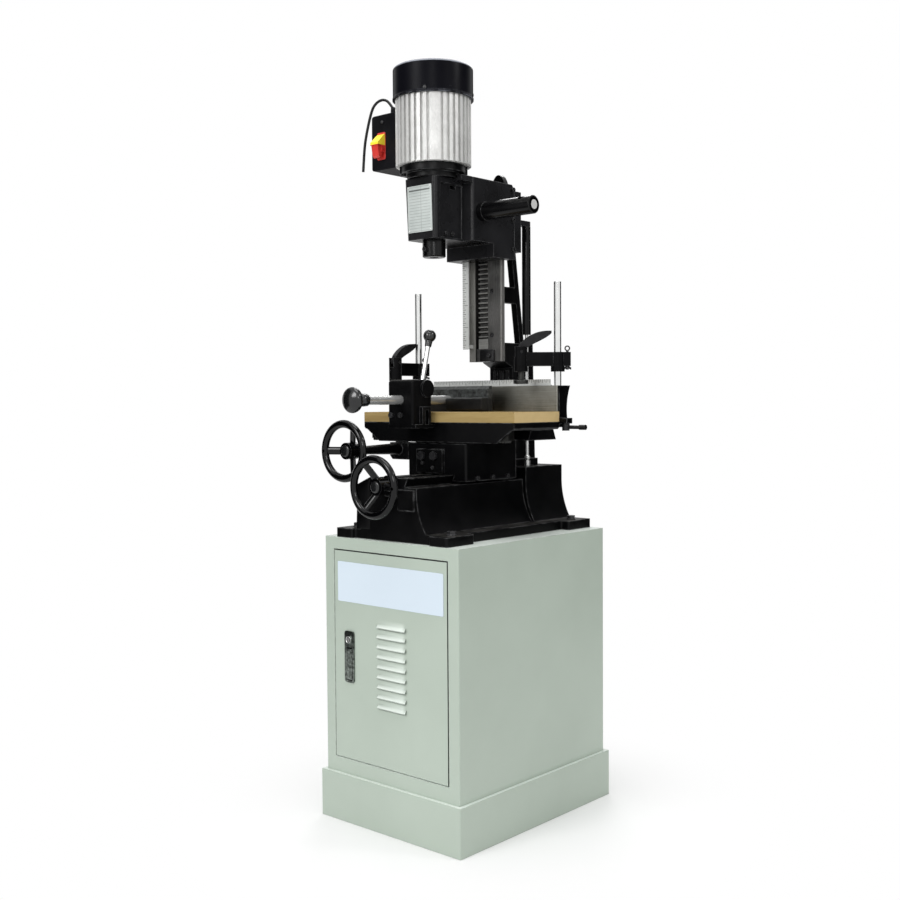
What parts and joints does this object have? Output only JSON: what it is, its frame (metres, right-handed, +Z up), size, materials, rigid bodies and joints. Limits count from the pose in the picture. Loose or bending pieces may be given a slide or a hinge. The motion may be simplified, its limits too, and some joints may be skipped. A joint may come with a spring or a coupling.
{
  "type": "hollow chisel mortiser",
  "caption": "Floor-standing hollow chisel mortiser: finned motor on a rack-fed dovetail head, cross-sliding table with fence, vise and hold-downs, on a louvred sheet-metal cabinet.",
  "frame": {"origin": "on the floor under the middle of the cabinet", "axes": "X to the operator's right, Y away from the operator, Z up"},
  "size_m": [0.504, 0.5845, 1.627],
  "materials": {
    "cabinet_paint": "pale green-grey gloss powder coat",
    "machine_paint": "black semi-gloss enamel on cast iron",
    "machined_steel": "ground and milled steel, oiled",
    "black_steel": "black satin",
    "fasteners": "zinc-plated and blackened steel",
    "chrome_rod": "bright plated",
    "scale_steel": "satin rule steel",
    "bronze": "machined bronze",
    "table_wood": "bare softwood",
    "motor_aluminium": "extruded, bright",
    "black_plastic": "moulded black",
    "yellow_plastic": "moulded yellow",
    "red_plastic": "moulded red",
    "cord_rubber": "black sheathed flex"
  },
  "bodies": {
    "frame": {"cabinet_shell": "cabinet_paint", "cabinet_plinth": "cabinet_paint", "base_casting": "machine_paint", "frame_bolts": "fasteners", "screw_bearing": "machine_paint", "column": "machine_paint", "dovetail_bar": "machined_steel", "feed_rack": "machined_steel", "strut_rod": "machined_steel", "depth_scale": "scale_steel"},
    "door": {"cabinet_door": "cabinet_paint", "lock_plate": "black_plastic"},
    "latch": {"latch_handle": "black_plastic"},
    "cross_wheel": {"cross_handwheel": "machine_paint", "cross_screw": "machined_steel"},
    "saddle": {"saddle": "machine_paint", "saddle_gib": "machined_steel", "saddle_screws": "fasteners", "cross_nut": "bronze", "pinion_bracket": "machine_paint"},
    "table_wheel": {"table_handwheel": "machine_paint", "table_pinion": "machined_steel"},
    "table": {"table_casting": "machine_paint", "table_top": "table_wood", "table_rack": "machined_steel", "fence_casting": "machine_paint", "fence_face": "machined_steel", "hold_down_rods": "chrome_rod", "vise_bracket": "machine_paint", "table_screws": "fasteners"},
    "fence_lever": {"fence_lock_lever": "black_steel"},
    "vise": {"vise_rod": "chrome_rod", "vise_knob": "black_plastic", "vise_jaw": "black_steel"},
    "vise_lever": {"vise_lever": "chrome_rod", "vise_lever_ball": "black_plastic"},
    "left_clamp": {"left_clamp_arm": "machine_paint"},
    "left_lever": {"left_clamp_lever": "black_steel"},
    "left_foot": {"left_clamp_foot": "machined_steel"},
    "right_clamp": {"right_clamp_arm": "machine_paint"},
    "right_lever": {"right_clamp_lever": "black_steel"},
    "right_foot": {"right_clamp_foot": "machined_steel"},
    "head": {"head_casting": "machine_paint", "slide_keepers": "machine_paint", "spindle_block": "machine_paint", "chisel_bush": "black_steel", "motor_flange": "machine_paint", "motor_body": "motor_aluminium", "fan_cover": "black_steel", "head_screws": "fasteners", "switch_box": "black_plastic", "switch_bezel": "yellow_plastic", "cord_gland": "black_plastic", "power_cord": "cord_rubber", "strut_tube": "black_steel"},
    "feed": {"feed_hub": "black_steel", "feed_shaft": "machined_steel"},
    "idler": {"idler_gear": "machined_steel"},
    "rotor": {"motor_rotor": "machined_steel"},
    "paddle": {"switch_paddle": "red_plastic"}
  },
  "joints": [
    {"name": "door_hinge", "type": "hinge", "parent": "frame", "child": "door", "pos_m": [0.157, -0.248, 0.365], "axis": [0, 0, 1], "range_deg": [0, 110]},
    {"name": "latch_lift", "type": "hinge", "parent": "door", "child": "latch", "pos_m": [-0.1185, -0.253, 0.375], "axis": [-1, 0, 0], "range_deg": [0, 50]},
    {"name": "saddle_slide", "type": "slide", "parent": "frame", "child": "saddle", "axis": [0, 1, 0], "range_m": [-0.095, 0.02]},
    {"name": "cross_wheel_turn", "type": "hinge", "parent": "frame", "child": "cross_wheel", "pos_m": [0, -0.25, 0.737], "axis": [0, 1, 0], "range_deg": [-1441, 6841]},
    {"name": "table_slide", "type": "slide", "parent": "saddle", "child": "table", "axis": [1, 0, 0], "range_m": [-0.11, 0.075]},
    {"name": "table_wheel_turn", "type": "hinge", "parent": "saddle", "child": "table_wheel", "pos_m": [-0.116, -0.18, 0.808], "axis": [0, 1, 0], "range_deg": [-316, 216]},
    {"name": "fence_lever_turn", "type": "hinge", "parent": "table", "child": "fence_lever", "pos_m": [0.23, 0.06, 0.856], "axis": [0, 0, 1], "range_deg": [-45, 45]},
    {"name": "vise_slide", "type": "slide", "parent": "table", "child": "vise", "axis": [0, 1, 0], "range_m": [-0.06, 0.0395]},
    {"name": "vise_lever_turn", "type": "hinge", "parent": "table", "child": "vise_lever", "pos_m": [-0.024, -0.122, 0.945], "axis": [1, 0, 0], "range_deg": [-40, 60]},
    {"name": "left_clamp_slide", "type": "slide", "parent": "table", "child": "left_clamp", "axis": [0, 0, 1], "range_m": [-0.015, 0.114]},
    {"name": "left_lever_turn", "type": "hinge", "parent": "left_clamp", "child": "left_lever", "pos_m": [-0.206, -0.016, 1.005], "axis": [1, 0, 0], "range_deg": [0, 90]},
    {"name": "left_foot_slide", "type": "slide", "parent": "left_clamp", "child": "left_foot", "axis": [0, 0, 1], "range_m": [-0.00301, 0]},
    {"name": "right_clamp_slide", "type": "slide", "parent": "table", "child": "right_clamp", "axis": [0, 0, 1], "range_m": [-0.028, 0.1]},
    {"name": "right_lever_turn", "type": "hinge", "parent": "right_clamp", "child": "right_lever", "pos_m": [0.14943, 0.00743, 1.019], "axis": [0.7071, -0.7071, 0], "range_deg": [0, 90]},
    {"name": "right_foot_slide", "type": "slide", "parent": "right_clamp", "child": "right_foot", "axis": [0, 0, 1], "range_m": [-0.00301, 0]},
    {"name": "head_slide", "type": "slide", "parent": "frame", "child": "head", "axis": [0, 0, 1], "range_m": [-0.13, 0]},
    {"name": "feed_turn", "type": "hinge", "parent": "head", "child": "feed", "pos_m": [0, -0.025, 1.324], "axis": [1, 0, 0], "range_deg": [-328, 1]},
    {"name": "idler_turn", "type": "hinge", "parent": "head", "child": "idler", "pos_m": [0, 0.03625, 1.324], "axis": [1, 0, 0], "range_deg": [-1, 194]},
    {"name": "rotor_spin", "type": "hinge", "parent": "head", "child": "rotor", "pos_m": [0, -0.104, 1.5], "axis": [0, 0, 1], "continuous": true},
    {"name": "paddle_press", "type": "hinge", "parent": "head", "child": "paddle", "pos_m": [-0.133, -0.136, 1.474], "axis": [1, 0, 0], "range_deg": [0, 12]}
  ],
  "couplings": [
    {"joint": "cross_wheel_turn", "follows": "saddle_slide", "rad_per_m": -1256.6},
    {"joint": "table_wheel_turn", "follows": "table_slide", "rad_per_m": 50},
    {"joint": "feed_turn", "follows": "head_slide", "rad_per_m": 43.956},
    {"joint": "idler_turn", "follows": "head_slide", "rad_per_m": -25.974},
    {"joint": "left_foot_slide", "follows": "left_lever_turn", "m_per_rad": -0.0019099},
    {"joint": "right_foot_slide", "follows": "right_lever_turn", "m_per_rad": -0.0019099}
  ]
}
